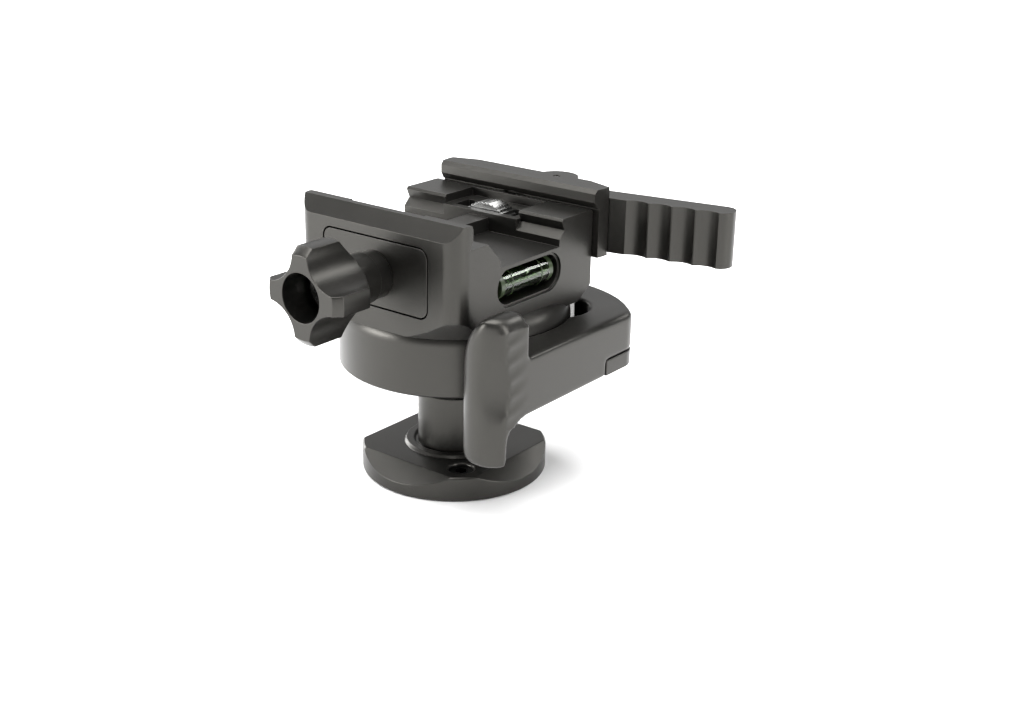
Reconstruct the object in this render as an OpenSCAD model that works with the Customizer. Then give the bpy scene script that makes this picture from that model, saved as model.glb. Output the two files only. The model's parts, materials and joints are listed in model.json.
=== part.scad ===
// Ball head with a double quick-release clamp.
// +Z is up, the origin is the centre of the base's bottom face, the clamp's jaws run along X,
// the star knob is on the -Y side and the quick-release lever on the +Y side.

/* [Fits] */
// Radial clearance of turning and sliding fits
run_gap = 0.05; // [0.02:0.01:0.1]
// Radial clearance of pieces that are assembled once
fit_gap = 0.02; // [0.01:0.01:0.05]
// Gap between flat faces that move past each other
face_gap = 0.15; // [0.1:0.05:0.3]
// Gap between curved faces of pieces that move apart
part_gap = 0.3; // [0.2:0.05:0.4]
// Small chamfer on turned and milled edges
edge = 0.4; // [0.2:0.1:0.6]

/* [Base] */
// Radius of the base disc
base_r = 19; // [16:0.5:24]
// Height of the base disc
base_h = 5.4; // [4.5:0.1:8]
// Distance from the axis to the top edge of each sloping facet
facet_top = 14.8; // [13.5:0.1:15.5]
// Height at which a facet leaves the rim
facet_foot = 2.6; // [1.5:0.1:4]
// Outer radius of the raised ring round the stem
ring_r = 10.3; // [9.5:0.1:12]
// Height of the raised ring
ring_h = 0.7; // [0.3:0.1:1.5]
// Width of the groove between ring and stem
groove_w = 0.6; // [0.3:0.1:1]
// Radius of the stem
stem_r = 7.5; // [6.5:0.1:8]
// Radius of the stem's spigot in the base
spigot_r = 6.3; // [5.8:0.1:7]
// Radius of the tripod thread in the stem
thread_r = 3.97; // [3:0.01:4.5]
// Depth of the tripod thread
thread_depth = 11; // [8:0.5:12]
// Radius of the stud that joins ball and stem
stud_r = 3; // [2.5:0.1:3.5]
// Distance of the base set screws from the axis
set_screw_at = 14.35; // [13.5:0.05:15]
// Radius of the base set screws
set_screw_r = 2.5; // [2:0.1:3]

/* [Ball] */
// Radius of the ball
ball_r = 12.5; // [11.5:0.1:15]
// Height of the ball's centre
ball_z = 27; // [26:0.5:34]
// Wall of the upper cup that turns on the ball
cup_t = 0.65; // [0.5:0.05:1]
// Wall of the carrier between cup and housing
carrier_t = 0.6; // [0.5:0.05:1]

/* [Housing] */
// Thickness of the housing from the ball to its outer wall
bowl_wall = 10.8; // [10:0.1:14]
// Distance of the housing's bottom face below the ball's centre
lip_drop = 3.2; // [2.8:0.1:4]
// Height of the housing's straight wall
bowl_wall_h = 10.1; // [9.6:0.1:11]
// Radius of the rounded shoulder above the wall
dome_r = 4.1; // [3:0.1:5]
// Wall of the spigot that enters the clamp, beside the ball's cavity
neck_t = 2.65; // [2:0.05:3]
// Thickness of the roof over the ball's cavity
roof_t = 1.25; // [1:0.05:2]

/* [Clamp] */
// Length of the clamp along its jaws
clamp_len = 40; // [34:0.5:60]
// Distance of the clamp's front face from the axis
clamp_front = 23.45; // [23:0.05:26]
// Distance of the clamp's back face from the axis
clamp_back = 18.6; // [18:0.1:20]
// Height of the clamp from its bottom to its deck
deck_h = 18.15; // [17.5:0.05:22]
// Height of the screw axes above the clamp's bottom
rod_rise = 10.65; // [10:0.05:12]
// Radius of the front vertical corners
corner_r = 3.6; // [2:0.1:5]
// Radius at which the underside starts to rise
relief_r = 24.6; // [24:0.1:26]
// Depth of the rail channel below the deck
channel_depth = 5.3; // [4.8:0.1:6]
// Width of the plate gap between the two lips
plate_w = 36.52; // [34:0.01:38]
// Distance of the front lip from the axis
front_lip = 18.96; // [18:0.01:20]
// Height of the front wall above the deck
front_wall_h = 4.45; // [4:0.05:6]

/* [Level] */
// Radius of the vial
vial_r = 2.75; // [2:0.05:3]
// Length of the level's slot in the end face
level_len = 19; // [14:0.5:22]
// Height of the level's slot in the end face
level_h = 6.8; // [6:0.1:7.5]

/* [Lock lever] */
// Thickness of the lever arm outside the housing
arm_t = 6.6; // [5.5:0.1:9]
// Height of the lever arm
arm_h = 11.2; // [10.5:0.1:12]
// Angle that the lever opens
lock_swing = 15; // [10:1:20]
// Width of the thumb grip across the arm
grip_w = 10.5; // [9.8:0.1:11]
// Radius of the grip's rounded front
grip_r = 6; // [5.8:0.1:6.4]
// Height of the grip's bottom above the floor
grip_foot = 14.6; // [13.5:0.1:18]
// Height of the grip above the arm's top
grip_rise = 9.1; // [8:0.1:10]

/* [Knob] */
// Radius of the star knob over its lobes
knob_r = 9.25; // [8:0.05:11]
// Length of the star knob
knob_len = 11.5; // [9:0.1:14]
// Radius of the knob's screw
screw_r = 2; // [1.5:0.1:2.4]
// Travel of the front jaw
jaw_travel = 3.5; // [2:0.1:3.5]

/* [Rear jaw] */
// Length of the rear jaw
jaw_len = 40.4; // [36:0.1:62]
// Thickness of the rear jaw
jaw_t = 5.4; // [5:0.1:7]
// Height of the rear jaw
jaw_h = 14; // [13.5:0.1:16]
// Distance of the lever pivot from the middle of the jaw
pivot_x = 8; // [7:0.1:10]
// Radius of the thumb wheel
wheel_r = 7.3; // [6.8:0.1:7.4]
// Width of the thumb wheel
wheel_w = 4; // [3:0.1:4.5]

/* [Quick-release lever] */
// Reach of the lever from its pivot to its tip
qr_reach = 38.3; // [30:0.1:50]
// Height of the lever
qr_h = 11.2; // [10:0.1:12]
// Thickness of the lever
qr_t = 5.8; // [4.5:0.1:7]
// Angle between the closed lever and the jaw
qr_angle = 10.6; // [5:0.1:14]
// Eccentricity of the lever's cam
cam_throw = 0.9; // [0.6:0.05:1]

/* [Hidden] */
$fn = 96;

// Overrun of every cut past the face that it opens
over = 1;
dark = [0.30, 0.30, 0.31];
darker = [0.20, 0.20, 0.21];
steel = [0.72, 0.72, 0.73];
white = [0.92, 0.92, 0.90];
green = [0.55, 0.80, 0.25];
coil = [0.60, 0.60, 0.62];

// Stem and ball
neck_top = ball_z - sqrt(ball_r * ball_r - stem_r * stem_r);
stud_web = 1.5;
stud_z0 = thread_depth + stud_web;
stud_depth = 9;
socket_depth = 2.2;

// Shells round the ball
seat_r = ball_r + run_gap;
cup_r = seat_r + cup_t;
carrier_r0 = cup_r + run_gap;
carrier_r = carrier_r0 + carrier_t;
cavity_r = carrier_r + 2 * run_gap;
cup_angle = 38;
seat_ring_out = 2.65;
seat_ring_in = 1.2;
seat_ring_r = seat_r + seat_ring_out;
seat_lip = 1;

// Housing
bowl_r = ball_r + bowl_wall;
housing_z0 = ball_z - lip_drop;
wall_top = housing_z0 + bowl_wall_h;
dome_top = wall_top + dome_r;

// Thumb wheel and the screw axes above the ball
wheel_y0 = 9.5;
slot_y0 = wheel_y0 - part_gap;
wheel_roof = 1.71;
slot_z0 = ball_z + sqrt(cavity_r * cavity_r - slot_y0 * slot_y0) + wheel_roof;
rod_z = slot_z0 + part_gap + wheel_r;
rod_r = 2;

// Clamp levels
clamp_z0 = rod_z - rod_rise;
deck_z = clamp_z0 + deck_h;
floor_z = deck_z - channel_depth;
wall_z = deck_z + front_wall_h;
half_len = clamp_len / 2;
neck_z1 = ball_z + cavity_r + roof_t;
neck_r = sqrt(cavity_r * cavity_r - pow(clamp_z0 - ball_z, 2)) + neck_t;

// Front lip
undercut = 0.89;
lip_foot = 1.6;
lip_top = 3.65;
wall_in = 19.3;
wall_top_w = 2;
wall_bevel = 3;

// Ledge, ramp and rear hooks of the rail channel
ledge_in = 14.7;
ramp_in = 10.95;
ramp_foot = 1.5;
hook_y = 7.48;
hook_h = 1.4;
hook_apex = 9.05;
hook_mid = 3;
hook_top_y = 8.2;
hook_top = 4.8;
rib_w = 4.8;
rib_h = 2.75;
centre_w = 18.8;
centre_h = 3.6;
centre_y1 = 17.2;

// Front jaw
plate_half = 12.8;
plate_t = 3;
plate_down = 6.2;
plate_below = 0.6;
plate_z0 = rod_z - plate_down;
plate_z1 = deck_z - plate_below;
plate_corner = 1.8;
nose_half = 9;
nose_tip = 11.2;
nose_groove = 1.6;

// Knob
collar_r = 4.9;
collar_step_r = 4.6;
collar_len = 7.4;
collar_step = 3.2;
knob_y1 = -(clamp_front + collar_len + face_gap);
knob_y0 = knob_y1 - knob_len;
knob_rim = 1.4;
knob_tail_r = 5.9;
knob_tail = 3.4;
tip_half = 1.9;
scoop_in = 5.2;
bore_r = 4.6;
bore_depth = 9.3;
head_r = 3.7;
head_h = 3.3;
screw_end = 9.5;

// Hinge of the lock lever
hinge_in = 3.12;
hinge_az = 37.55;
hinge = (bowl_r - hinge_in) * [cos(hinge_az), sin(hinge_az)];
pin_r = 2;
hub_r = 4.5;
hub_offset = 0.7;
hub_lead = 20;
hub_clear = 0.2;
hub_pocket_r = hub_offset + hub_r + hub_clear;
hub_play = 0.1;
web_reach = 8.8;
web_w = 7;
web_az = 7.5;
window_up = 0.05;
window_wall = 3.55;
window_z0 = ball_z + window_up;
window_h = 4.75;
pin_floor = 0.5;
pin_roof = 1.15;
pin_z0 = housing_z0 + pin_floor;
pin_z1 = clamp_z0 - pin_roof;
lever_pocket_r = 7;
lever_floor_r = hinge_in + 2 * part_gap;
lever_floor_z = window_z0 - part_gap;

// Lock lever outline
arm_x = bowl_r + part_gap + arm_t;
arm_z1 = housing_z0 + arm_h;
lobe_in = 5.7;
lobe_back = 8.2;
lobe_c = hinge - [lobe_in, lobe_back];
lobe_r = 24.9;
lobe_corner_r = 5;
lobe_end = 5.8;
cap_y = 10.3;
cap_h = 3.3;
cap_line = 0.1;
cap_screw_at = 10;
cap_screw_az = 25;
cap_screw_r = 1;
cap_head_r = 1.8;
cap_head_h = 1;
cap_screw_len = 6;

// Grip of the lock lever
grip_in = 5.3;
grip_y = -18.2;
grip_c = [arm_x - grip_in, grip_y];
grip_side_y = -15.05;
grip_front_y = -21;
grip_back_az = 57;
grip_x0 = arm_x - grip_w;
grip_top = arm_z1 + grip_rise;
grip_arch_r = 15.5;
grip_corner_r = 3;
dish_az = -52.8;
dish_r = 20;
dish_depth = 0.9;
dish_z = 30;
scallop_r = 4.6;
scallop_depth = 0.35;
scallop_pitch = 3.35;
scallop_n = 6;
scallop_drop = 0.2;
scallop_z0 = housing_z0 - scallop_drop;
scallop_len = 16;
scallop_fade = 3.7;
scallop_slope = 10;

// Plunger between the lever's hub and the ball
plunger_r = 2;
plunger_down = 0.13;
plunger_z = window_z0 + window_h / 2 - plunger_down;
hub_face = hub_offset * cos(hub_lead) + sqrt(hub_r * hub_r - pow(hub_offset * sin(hub_lead), 2));
plunger_out = norm(hinge) - hub_face - run_gap;
pad_out = 0.9;
pad_split = ball_r + pad_out;

// Level vial
level_mid = -1.8;
level_down = 2.2;
level_z = rod_z - level_down;
level_depth = 6.3;
level_flat = 0.02;
vial_in = 3.2;
vial_x = half_len - vial_in;
vial_wall = 0.6;
vial_cap_len = 1.2;
vial_end_gap = level_h / 2 - sqrt(level_h * level_h / 4 - vial_r * vial_r) + fit_gap;
level_rim = 0.5;
bubble_r = 1.3;
bubble_mid = 1.6;

// Set screw that keeps the clamp on the housing
lock_screw_r = 1.5;
lock_screw_up = 3.2;
lock_screw_z = clamp_z0 + lock_screw_up;
lock_screw_len = 4.5;
hex_share = 0.5;

// Rear jaw
jaw_y0 = clamp_back + part_gap;
jaw_y1 = jaw_y0 + jaw_t;
jaw_shift = 1.3;
jaw_x0 = jaw_shift - jaw_len / 2;
jaw_x1 = jaw_shift + jaw_len / 2;
jaw_up = 4.1;
jaw_z1 = deck_z + jaw_up;
jaw_z0 = jaw_z1 - jaw_h;
rear_lip = plate_w - front_lip;
jaw_lip_up = 0.3;
jaw_lip_h = 3;
jaw_lip_z0 = deck_z + jaw_lip_up;
jaw_lip_z1 = jaw_lip_z0 + jaw_lip_h;
jaw_top_in = 18.3;
jaw_end_t = 3.1;
jaw_end_w = 7;
jaw_relief_r = 8;
jaw_relief = 0.9;
jaw_end_cut = 3;

// Lever pivot, ears and cam
pivot_out = 3.9;
pivot = [pivot_x, jaw_y0 + pivot_out];
ear_r = 4.4;
ear_low_r = 2.7;
qr_up = 1.8;
qr_z1 = deck_z + qr_up;
qr_z0 = qr_z1 - qr_h;
hub_up = 1.8;
hub_z0 = rod_z + hub_up;
qr_hub_r = 3.1;
qr_front = -3;
qr_pin_r = 0.8;
ear_drop = 2.7;
ear_z1 = qr_z0;
cam_r = 2.1;
cam_slot = 0.3;
link_t = 3;
link_wall = 0.9;
link_front = 3.3;
link_bar = 3;
rod_y0 = 2.5;
stub_r = 1.1;
nut_r = 2.7;
nut_t = 1.8;
wheel_teeth = 48;
wheel_tooth = 0.45;
guide_r = 1.5;
guide_at = 14.5;
guide_up = 1.2;
guide_z = rod_z + guide_up;
guide_y0 = 11;
guide_in = 1.1;
spring_wall = 0.4;
spring_len = 4;

// Quick-release lever
qr_start = 9;
qr_scallop_pitch = 4.9;
qr_scallop_r = 3.7;
qr_scallop_depth = 0.8;
qr_scallop_n = 4;
qr_scallop_at = 19;
qr_tip_r = 2.7;

// Point at a radius and an azimuth
function polar(r, a) = r * [cos(a), sin(a)];

// Point p turned about q by an angle
function turned(p, q, a) = q + [
    (p.x - q.x) * cos(a) - (p.y - q.y) * sin(a),
    (p.x - q.x) * sin(a) + (p.y - q.y) * cos(a)];

// Outline in Y and Z, extruded along X between two places
module along_x(x0, x1) {
    translate([x0, 0, 0]) rotate([90, 0, 90]) linear_extrude(x1 - x0) children();
}

// Cylinder along +Y that starts at y0
module rod_y(x, z, y0, y1, r) {
    translate([x, y0, z]) rotate([-90, 0, 0]) cylinder(r = r, h = y1 - y0);
}

// Rectangle with round corners
module round_rect(w, h, r) {
    translate([-w / 2 + r, -h / 2]) square([w - 2 * r, h]);
    translate([-w / 2, -h / 2 + r]) square([w, h - 2 * r]);
    for (x = [-1, 1], y = [-1, 1]) {
        translate([x * (w / 2 - r), y * (h / 2 - r)]) circle(r);
    }
}

// Box between two corners
module box(low, high) {
    translate(low) cube(high - low);
}

// Grub screw with a hex socket, from its point at z = 0 up to z = len
module grub_screw(r, len) {
    difference() {
        cylinder(r = r, h = len);
        translate([0, 0, len - socket_depth]) cylinder(r = r * hex_share, h = socket_depth + over, $fn = 6);
    }
}

module base_plate() {
    slope = atan((base_h - facet_foot) / (base_r - facet_top));
    groove_r = stem_r + groove_w;
    color(dark) difference() {
        rotate_extrude() polygon([
            [spigot_r + fit_gap, 0], [base_r - edge, 0], [base_r, edge],
            [base_r, base_h - edge], [base_r - edge, base_h], [ring_r, base_h],
            [ring_r - edge, base_h + ring_h], [groove_r + edge, base_h + ring_h],
            [groove_r, base_h + ring_h - edge], [groove_r, base_h], [spigot_r + fit_gap, base_h]]);
        for (a = [0:90:270]) {
            rotate(a) translate([facet_top, -base_r, base_h]) rotate([0, slope, 0])
                cube([base_r, 2 * base_r, base_h]);
        }
        for (a = [-45, 135]) {
            rotate(a) translate([set_screw_at, 0, -over])
                cylinder(r = set_screw_r, h = base_h + 2 * over);
            rotate(a) translate([set_screw_at, 0, base_h - edge])
                cylinder(r1 = set_screw_r, r2 = set_screw_r + edge + over, h = edge + over);
        }
    }
}

module base_set_screws() {
    color(darker) for (a = [-45, 135]) {
        rotate(a) translate([set_screw_at, 0, edge]) grub_screw(set_screw_r, base_h - 2.5 * edge);
    }
}

module stem() {
    color(dark) difference() {
        union() {
            cylinder(r = spigot_r, h = base_h);
            translate([0, 0, base_h]) cylinder(r = stem_r, h = neck_top - base_h);
        }
        translate([0, 0, -over]) cylinder(r = thread_r, h = thread_depth + over);
        translate([0, 0, stud_z0]) cylinder(r = stud_r, h = neck_top);
    }
}

module ball_stud() {
    color(steel) translate([0, 0, stud_z0]) cylinder(r = stud_r, h = neck_top + stud_depth - stud_z0);
}

module ball() {
    color(darker) difference() {
        translate([0, 0, ball_z]) sphere(ball_r);
        box([-ball_r, -ball_r, ball_z - ball_r - over], [ball_r, ball_r, neck_top]);
        translate([0, 0, neck_top - over]) cylinder(r = stud_r, h = stud_depth + over);
    }
}

// Spherical cap shell over the ball, from its crown down to cup_angle
module cap_shell(r0, r1) {
    translate([0, 0, ball_z]) rotate_extrude() intersection() {
        difference() {
            circle(r1);
            circle(r0);
        }
        polygon([[0, 0], [2 * r1 * tan(cup_angle), 2 * r1], [0, 2 * r1]]);
    }
}

module upper_ball_cup() {
    color(white) cap_shell(seat_r, cup_r);
}

module cup_carrier() {
    color(steel) cap_shell(carrier_r0, carrier_r);
}

// Space swept by the thumb wheel, from its slot up through the deck
module wheel_space() {
    rod_y(0, rod_z, slot_y0, wheel_y0 + wheel_w + part_gap, wheel_r + part_gap);
    box([-wheel_r - part_gap, slot_y0, rod_z], [wheel_r + part_gap, wheel_y0 + wheel_w + part_gap, wall_z]);
}

// Housing's section with its cavity, before the spigot and the lever's window
module bowl_section() {
    difference() {
        union() {
            polygon([[0, housing_z0], [bowl_r - edge, housing_z0], [bowl_r, housing_z0 + edge],
                [bowl_r, wall_top], [0, wall_top]]);
            square([bowl_r - dome_r, dome_top]);
            intersection() {
                translate([bowl_r - dome_r, wall_top]) circle(dome_r);
                translate([bowl_r - dome_r, wall_top]) square(dome_r);
            }
        }
        square([bowl_r, housing_z0]);
    }
}

module ball_cavity() {
    rotate_extrude() {
        intersection() {
            translate([0, ball_z]) circle(cavity_r);
            translate([0, ball_z]) square(2 * cavity_r);
        }
        intersection() {
            translate([0, ball_z]) circle(seat_r);
            translate([0, housing_z0 - over]) square(2 * cavity_r);
        }
        translate([0, housing_z0 + seat_lip]) square([seat_ring_r + fit_gap, ball_z - housing_z0 - seat_lip]);
    }
}

// Pocket and window that the lever's hub turns in
module hub_window() {
    translate([hinge.x, hinge.y, window_z0]) cylinder(r = hub_pocket_r, h = window_h);
    difference() {
        translate([hinge.x, hinge.y, window_z0]) cylinder(r = web_reach + part_gap, h = window_h);
        cylinder(r = cavity_r + window_wall, h = rod_z);
    }
}

module plunger_line(r0, r1, r) {
    rotate(hinge_az) translate([r0, 0, plunger_z]) rotate([0, 90, 0]) cylinder(r = r, h = r1 - r0);
}

module housing() {
    color(dark) difference() {
        union() {
            difference() {
                rotate_extrude() bowl_section();
                box([-half_len, -clamp_front, clamp_z0], [half_len, clamp_back, deck_z]);
            }
            translate([0, 0, wall_top]) cylinder(r = neck_r, h = neck_z1 - wall_top);
        }
        ball_cavity();
        hub_window();
        translate([hinge.x, hinge.y, pin_z0]) cylinder(r = pin_r, h = pin_z1 - pin_z0);
        plunger_line(ball_r - over, norm(hinge) - hub_r, plunger_r + run_gap);
        wheel_space();
        lock_screw_hole(neck_r + over);
    }
}

module seat_ring() {
    color(white) rotate_extrude() difference() {
        translate([seat_r - seat_ring_in, housing_z0 + seat_lip])
            square([seat_ring_out + seat_ring_in, ball_z - housing_z0 - seat_lip]);
        translate([0, ball_z]) circle(seat_r);
    }
}

module lever_pivot_pin() {
    color(steel) translate([hinge.x, hinge.y, pin_z0]) cylinder(r = pin_r, h = pin_z1 - pin_z0);
}

// Section of the clamp across its jaws
module clamp_section() {
    polygon([
        [-clamp_front, clamp_z0], [clamp_back, clamp_z0], [clamp_back, deck_z - edge],
        [clamp_back - edge, deck_z], [hook_top_y + edge, deck_z],
        [hook_top_y, floor_z + hook_top], [hook_apex, floor_z + hook_mid],
        [hook_y, floor_z + hook_h], [hook_y, floor_z], [-ramp_in, floor_z],
        [-ramp_in, floor_z + ramp_foot], [-ledge_in, deck_z], [-front_lip - undercut, deck_z],
        [-front_lip, deck_z + lip_foot], [-front_lip, deck_z + lip_top], [-wall_in, wall_z],
        [-wall_in - wall_top_w, wall_z], [-clamp_front, wall_z - wall_bevel]]);
}

// Outline of the clamp seen from above
module clamp_plan() {
    difference() {
        translate([-half_len, -clamp_front]) square([clamp_len, clamp_front + clamp_back]);
        for (s = [-1, 1]) {
            translate([s * half_len, -clamp_front]) difference() {
                square(2 * corner_r, center = true);
                translate([-s * corner_r, corner_r]) circle(corner_r);
            }
        }
    }
}

// Rising underside outside the housing
module clamp_relief() {
    reach = 2 * half_len;
    rotate_extrude() polygon([[0, clamp_z0], [relief_r, clamp_z0],
        [relief_r + reach, clamp_z0 + reach], [0, clamp_z0 + reach]]);
}

module level_slot(depth, grow) {
    translate([half_len - depth, level_mid, level_z]) rotate([90, 0, 90]) linear_extrude(depth + over)
        round_rect(level_len + 2 * grow, level_h + 2 * grow, (level_h - level_flat) / 2 + grow);
}

module lock_screw_hole(reach) {
    translate([-reach - lock_screw_len - over, 0, lock_screw_z]) rotate([0, 90, 0])
        cylinder(r = lock_screw_r, h = lock_screw_len + 2 * over);
}

// Space in the clamp for the front jaw over its whole travel
module front_jaw_space() {
    z_mid = (plate_z0 + plate_z1) / 2;
    depth = plate_t + jaw_travel + face_gap;
    translate([0, -clamp_front + depth, z_mid]) rotate([90, 0, 0]) linear_extrude(depth + over)
        round_rect(2 * (plate_half + part_gap), plate_z1 - plate_z0 + 2 * part_gap, plate_corner + part_gap);
    box([-nose_half - face_gap, -clamp_front + plate_t - 2 * edge, floor_z],
        [nose_half + face_gap, -ramp_in + over, deck_z - face_gap]);
    box([-nose_half - face_gap, -front_lip - undercut, floor_z],
        [nose_half + face_gap, -ramp_in + over, wall_z]);
}

module clamp_body() {
    color(dark) difference() {
        union() {
            intersection() {
                along_x(-half_len, half_len) clamp_section();
                translate([0, 0, clamp_z0]) linear_extrude(2 * deck_h) clamp_plan();
                clamp_relief();
            }
            box([-centre_w / 2, hook_y, floor_z - over],
                [centre_w / 2, clamp_back - edge, floor_z + centre_h]);
            box([-rib_w / 2, -ramp_in - over, floor_z - over], [rib_w / 2, hook_y + over, floor_z + rib_h]);
        }
        box([-centre_w / 2, hook_y - over, floor_z + centre_h], [centre_w / 2, centre_y1, wall_z]);
        translate([0, 0, clamp_z0 - over]) cylinder(r = neck_r + fit_gap, h = neck_z1 - clamp_z0 + over);
        wheel_space();
        rod_y(0, rod_z, rod_y0 - over, clamp_back + over, rod_r + run_gap);
        rod_y(0, rod_z, -clamp_front, -screw_end + jaw_travel + over, screw_r + run_gap);
        front_jaw_space();
        level_slot(level_depth, 0);
        level_slot(level_rim, level_rim);
        lock_screw_hole(half_len - lock_screw_len);
        lock_screw_hole(neck_r + over);
        for (s = [-1, 1]) {
            rod_y(s * guide_at, guide_z, guide_y0 - over, clamp_back + over, guide_r + run_gap);
            rod_y(s * guide_at, guide_z, clamp_back - spring_len - part_gap, clamp_back + over,
                guide_r + spring_wall + 2 * run_gap + part_gap);
        }
    }
}

module clamp_lock_screw() {
    color(darker) translate([-neck_r - fit_gap - edge, 0, lock_screw_z]) rotate([0, -90, 0])
        grub_screw(lock_screw_r, lock_screw_len);
}

module vial_tube() {
    len = level_len - 2 * vial_end_gap - 2 * vial_cap_len;
    color(green, 0.6) difference() {
        rod_y(vial_x, level_z, level_mid - len / 2, level_mid + len / 2, vial_r);
        rod_y(vial_x, level_z, level_mid - len, level_mid + len, vial_r - vial_wall);
    }
}

module vial_fluid() {
    len = level_len - 2 * vial_end_gap - 2 * vial_cap_len;
    color(green) difference() {
        rod_y(vial_x, level_z, level_mid - len / 2, level_mid + len / 2, vial_r - vial_wall);
        translate([vial_x, level_mid + bubble_mid, level_z + vial_r - vial_wall - bubble_r - run_gap])
            sphere(bubble_r);
    }
}

module vial_caps() {
    inner = level_len / 2 - vial_end_gap - vial_cap_len;
    color(darker) for (s = [-1, 1]) {
        rod_y(vial_x, level_z, level_mid + min(s * inner, s * (inner + vial_cap_len)),
            level_mid + max(s * inner, s * (inner + vial_cap_len)), vial_r);
    }
}

module jaw_springs() {
    inner = guide_r + 2 * run_gap + part_gap / 2;
    color(coil) for (s = [-1, 1]) {
        difference() {
            rod_y(s * guide_at, guide_z, clamp_back - spring_len - part_gap + fit_gap,
                clamp_back - part_gap, inner + spring_wall);
            rod_y(s * guide_at, guide_z, guide_y0, jaw_y1, inner);
        }
    }
}

// Height above c of a corner circle q that touches the circle r inside and the wall x = arm_x
function corner_rise(c, r, q) = sqrt(pow(r - q, 2) - pow(arm_x - q - c.x, 2));

// Part of a circle above y0 from x0 to the wall x = arm_x, with its corner rounded
module arched(c, r, q, x0, y0) {
    s = [arm_x - q, c.y + corner_rise(c, r, q)];
    far = s + 2 * q * (s - c) / (r - q);
    intersection() {
        translate(c) circle(r);
        polygon([[x0, y0], [s.x, y0], s, far, [far.x, c.y + 2 * r], [x0, c.y + 2 * r]]);
    }
    translate(s) circle(q);
    translate([s.x, y0]) square([q, s.y - y0]);
}

// Outline of the lever outside the housing, closed, clear of the housing over its swing
module lever_outline(pocket_r) {
    housing_from_open = turned([0, 0], hinge, -lock_swing);
    difference() {
        union() {
            arched(lobe_c, lobe_r, lobe_corner_r, lobe_end, 0);
            translate([0, grip_side_y]) square([arm_x, lobe_c.y - grip_side_y]);
        }
        circle(bowl_r + part_gap);
        translate(housing_from_open) circle(bowl_r + part_gap);
        translate(hinge) circle(pocket_r);
    }
}

// Side view of the grip in X and Z, with its arched top
module grip_side() {
    arch_x = grip_x0 + grip_arch_r;
    arch_z = grip_top - grip_corner_r - corner_rise([arch_x, 0], grip_arch_r, grip_corner_r);
    translate([grip_x0, grip_foot]) square([grip_w, arch_z - grip_foot]);
    arched([arch_x, arch_z], grip_arch_r, grip_corner_r, grip_x0, arch_z);
}

// Plan of the grip beside the arm, up to the arm's outer face
module grip_plan() {
    translate(grip_c) circle(grip_r);
    translate([grip_c.x, grip_front_y]) square([arm_x - grip_c.x, grip_side_y - grip_front_y]);
}

// Plan of the grip below the arm, cut back behind its front ridge
module finger_plan() {
    intersection() {
        translate(grip_c) circle(grip_r);
        translate([arm_x, grip_front_y]) rotate(grip_back_az) translate([-4 * grip_r, -2 * grip_r])
            square(4 * grip_r);
    }
}

// Round sweep from the arm's bottom down to the grip's ridge
module grip_web() {
    web_r = grip_side_y - grip_front_y;
    web_z = housing_z0 - web_r;
    intersection() {
        along_x(grip_x0, arm_x) difference() {
            translate([grip_front_y, web_z]) square([web_r, web_r + over]);
            translate([grip_side_y, web_z]) circle(web_r);
        }
        linear_extrude(grip_top) grip_plan();
    }
}

module grip() {
    intersection() {
        translate([0, grip_side_y, 0]) rotate([90, 0, 0]) linear_extrude(grip_side_y - grip_c.y + grip_r)
            grip_side();
        union() {
            linear_extrude(2 * grip_top) finger_plan();
            translate([0, 0, housing_z0]) linear_extrude(grip_top) grip_plan();
            grip_web();
        }
    }
}

module lock_lever() {
    hub_c = hinge + polar(hub_offset, hinge_az + 180 + hub_lead);
    z0 = window_z0 + hub_play;
    hub_h = window_h - 2 * hub_play;
    color(dark) difference() {
        union() {
            translate([0, 0, housing_z0]) linear_extrude(lever_floor_z - housing_z0)
                lever_outline(lever_floor_r);
            translate([0, 0, lever_floor_z]) linear_extrude(arm_z1 - lever_floor_z)
                lever_outline(lever_pocket_r);
            grip();
            translate([hub_c.x, hub_c.y, z0]) cylinder(r = hub_r, h = hub_h);
            intersection() {
                translate([hinge.x, hinge.y, z0]) cylinder(r = web_reach, h = hub_h);
                translate([hinge.x, hinge.y, z0]) rotate(web_az) translate([0, -web_w / 2, 0])
                    cube([2 * web_reach, web_w, hub_h]);
            }
        }
        translate([hinge.x, hinge.y, 0]) cylinder(r = pin_r + run_gap, h = deck_z);
        box([0, cap_y, 0], [2 * arm_x, 2 * arm_x, housing_z0 + cap_h]);
        box([-half_len, -clamp_front - part_gap, clamp_z0 - part_gap],
            [half_len + part_gap, clamp_back, wall_z]);
        translate([grip_c.x, grip_c.y, dish_z]) rotate(dish_az)
            translate([grip_r + dish_r - dish_depth, 2 * grip_r, 0]) rotate([90, 0, 0])
            cylinder(r = dish_r, h = 4 * grip_r);
        for (i = [0:scallop_n - 1]) {
            translate([arm_x + scallop_r - scallop_depth, grip_front_y, scallop_z0 + i * scallop_pitch])
                rotate([0, 0, -scallop_fade]) rotate([-90 + scallop_slope, 0, 0])
                translate([0, 0, -scallop_len / 2]) cylinder(r = scallop_r, h = scallop_len);
        }
        end_screw(0);
    }
}

module end_screw(shorter) {
    at = hinge + polar(cap_screw_at, cap_screw_az);
    translate([at.x, at.y, housing_z0 - over + shorter])
        cylinder(r = cap_head_r, h = cap_head_h + over - shorter);
    translate([at.x, at.y, housing_z0]) cylinder(r = cap_screw_r, h = cap_screw_len);
}

module lever_end_cap() {
    color(darker) difference() {
        translate([0, 0, housing_z0]) linear_extrude(cap_h - cap_line) intersection() {
            lever_outline(lever_floor_r);
            translate([0, cap_y + cap_line]) square(2 * arm_x);
        }
        end_screw(0);
    }
}

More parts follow.
